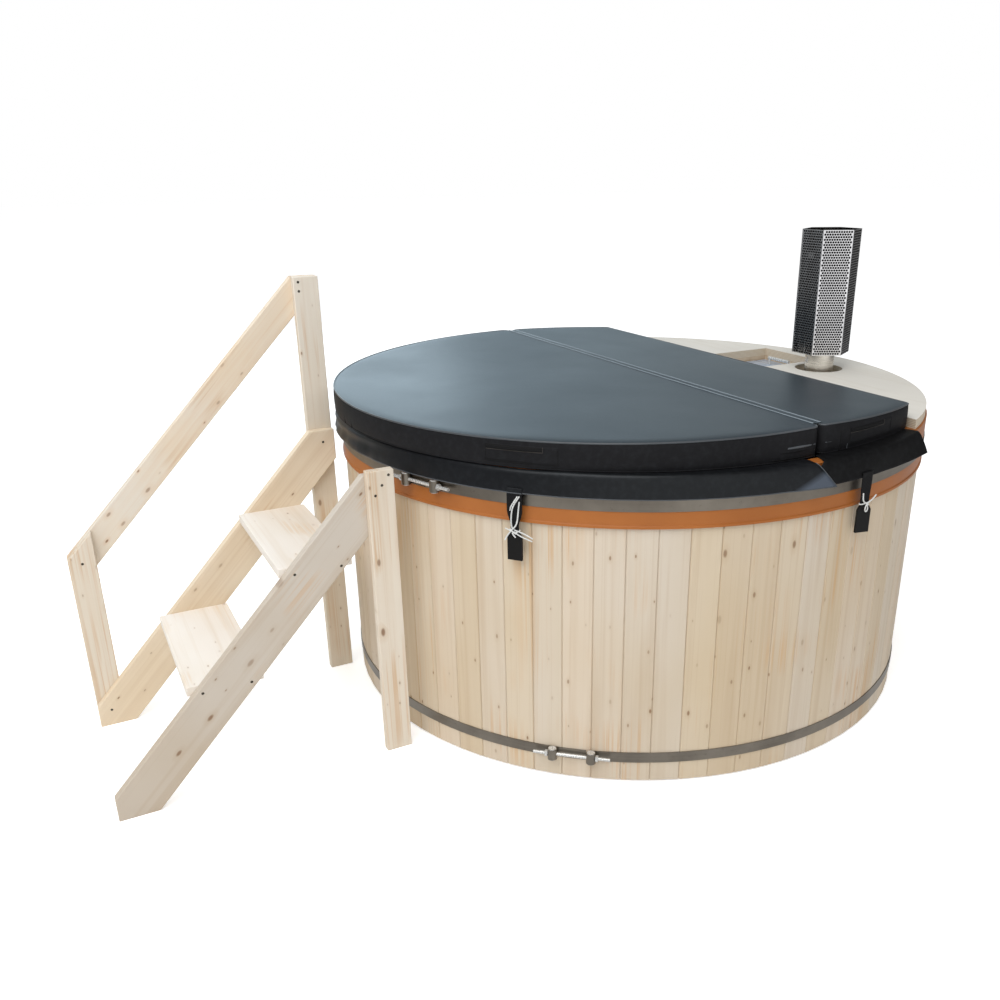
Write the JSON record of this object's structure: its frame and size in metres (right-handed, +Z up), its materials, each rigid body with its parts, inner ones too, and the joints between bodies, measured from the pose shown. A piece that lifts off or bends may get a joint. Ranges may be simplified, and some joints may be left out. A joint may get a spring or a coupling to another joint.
{
  "type": "wood-fired hot tub",
  "caption": "Round stave hot tub with a moulded liner, steel hoops, a built-in stove and guarded flue, a folding padded cover with lock straps, and free-standing stairs with a handrail.",
  "frame": {"origin": "on the tub's upright axis at floor level, in the middle of the middle floor bearer's underside", "axes": "+Z up; +Y from the stairs through the tub to the stove; +X towards the side of the stairs that has no handrail"},
  "size_m": [2.198, 2.8811, 1.485],
  "materials": {
    "stave_spruce": "planed, unfinished spruce",
    "stair_spruce": "planed, unfinished spruce",
    "inner_wood": "sanded softwood",
    "bearer_wood": "treated softwood",
    "deck_plywood": "pale sealed plywood",
    "liner_plastic": "orange-brown, semi-gloss",
    "hoop_steel": "rolled stainless band",
    "tension_steel": "bright plated",
    "stove_steel": "welded sheet",
    "grate_iron": "as cast",
    "flue_steel": "bright rolled sheet",
    "guard_steel": "perforated bent sheet",
    "cover_vinyl": "slate grey coated vinyl over foam",
    "skirt_vinyl": "near-black coated vinyl",
    "webbing": "black woven webbing",
    "tab_plastic": "moulded black",
    "string": "white string",
    "screw_steel": "dark coated",
    "drain_brass": "cast and turned",
    "drain_plastic": "moulded grey",
    "lever_paint": "painted"
  },
  "bodies": {
    "tub": {"wall_staves": "stave_spruce", "floor_bearers": "bearer_wood", "floor_panel": "bearer_wood", "liner_shell": "liner_plastic", "lower_hoop": "hoop_steel", "upper_hoop": "hoop_steel", "hoop_barrels": "tension_steel", "hoop_rods": "tension_steel", "hoop_nuts": "tension_steel", "stove_deck": "deck_plywood", "hatch_frame": "inner_wood", "deck_beam": "inner_wood", "fence_posts": "inner_wood", "fence_slats": "inner_wood", "bench_slats": "inner_wood", "bench_supports": "inner_wood", "stove_firebox": "stove_steel", "stove_top": "stove_steel", "stove_throat": "stove_steel", "lid_hinge_pin": "stove_steel", "stove_grate": "grate_iron", "flue_pipe": "flue_steel", "heat_guard": "guard_steel", "guard_clips": "flue_steel", "drain_strainer": "drain_plastic", "drain_pipe": "drain_plastic", "drain_valve": "drain_brass"},
    "stove_lid": {"stove_lid": "stove_steel", "lid_handle": "stove_steel"},
    "air_damper": {"air_damper": "stove_steel"},
    "drain_lever": {"drain_lever": "lever_paint"},
    "cover_front": {"cover_front_panel": "cover_vinyl", "cover_welt": "cover_vinyl", "cover_front_skirt": "skirt_vinyl", "cover_front_grips": "webbing"},
    "cover_rear": {"cover_rear_panel": "cover_vinyl", "cover_rear_skirt": "skirt_vinyl", "cover_rear_grips": "webbing"},
    "strap_front_right": {"strap_front_right": "webbing", "tab_front_right": "tab_plastic", "tie_front": "string", "tie_front_tail": "string"},
    "strap_front_left": {"strap_front_left": "webbing", "tab_front_left": "tab_plastic"},
    "strap_rear_right": {"strap_rear_right": "webbing", "tab_rear_right": "tab_plastic", "tie_rear": "string"},
    "strap_rear_left": {"strap_rear_left": "webbing", "tab_rear_left": "tab_plastic"},
    "stairs": {"near_stringer": "stair_spruce", "far_stringer": "stair_spruce", "lower_tread": "stair_spruce", "upper_tread": "stair_spruce", "near_post": "stair_spruce", "rail_post": "stair_spruce", "low_post": "stair_spruce", "handrail": "stair_spruce", "stair_screws": "screw_steel"}
  },
  "joints": [
    {"name": "cover_lift", "type": "slide", "parent": "tub", "child": "cover_front", "axis": [0, 0, 1], "range_m": [0, 0.6]},
    {"name": "cover_fold", "type": "hinge", "parent": "cover_front", "child": "cover_rear", "pos_m": [0, 0.012, 1.0403], "axis": [1, 0, 0], "range_deg": [0, 178]},
    {"name": "stairs_slide", "type": "slide", "parent": "tub", "child": "stairs", "axis": [0, -1, 0], "range_m": [0, 0.5]},
    {"name": "lid_hinge", "type": "hinge", "parent": "tub", "child": "stove_lid", "pos_m": [-0.135, 0.574, 0.947], "axis": [1, 0, 0], "range_deg": [0, 100]},
    {"name": "damper_turn", "type": "hinge", "parent": "stove_lid", "child": "air_damper", "pos_m": [-0.135, 0.694, 0.94], "axis": [0, 0, 1], "range_deg": [0, 45]},
    {"name": "drain_turn", "type": "hinge", "parent": "tub", "child": "drain_lever", "pos_m": [-1.046, 0.25882, 0.0695], "axis": [0, 0, 1], "range_deg": [0, 90]},
    {"name": "strap_front_right_swing", "type": "hinge", "parent": "cover_front", "child": "strap_front_right", "pos_m": [0.66598, -0.78252, 0.904], "axis": [-0.7615, -0.6481, 0], "range_deg": [0, 70]},
    {"name": "strap_front_left_swing", "type": "hinge", "parent": "cover_front", "child": "strap_front_left", "pos_m": [-0.66598, -0.78252, 0.904], "axis": [-0.7615, 0.6481, 0], "range_deg": [0, 70]},
    {"name": "strap_rear_right_swing", "type": "hinge", "parent": "cover_rear", "child": "strap_rear_right", "pos_m": [1.01755, 0.14301, 0.904], "axis": [0.1392, -0.9903, 0], "range_deg": [0, 70]},
    {"name": "strap_rear_left_swing", "type": "hinge", "parent": "cover_rear", "child": "strap_rear_left", "pos_m": [-1.01755, 0.14301, 0.904], "axis": [0.1392, 0.9903, 0], "range_deg": [0, 70]}
  ]
}
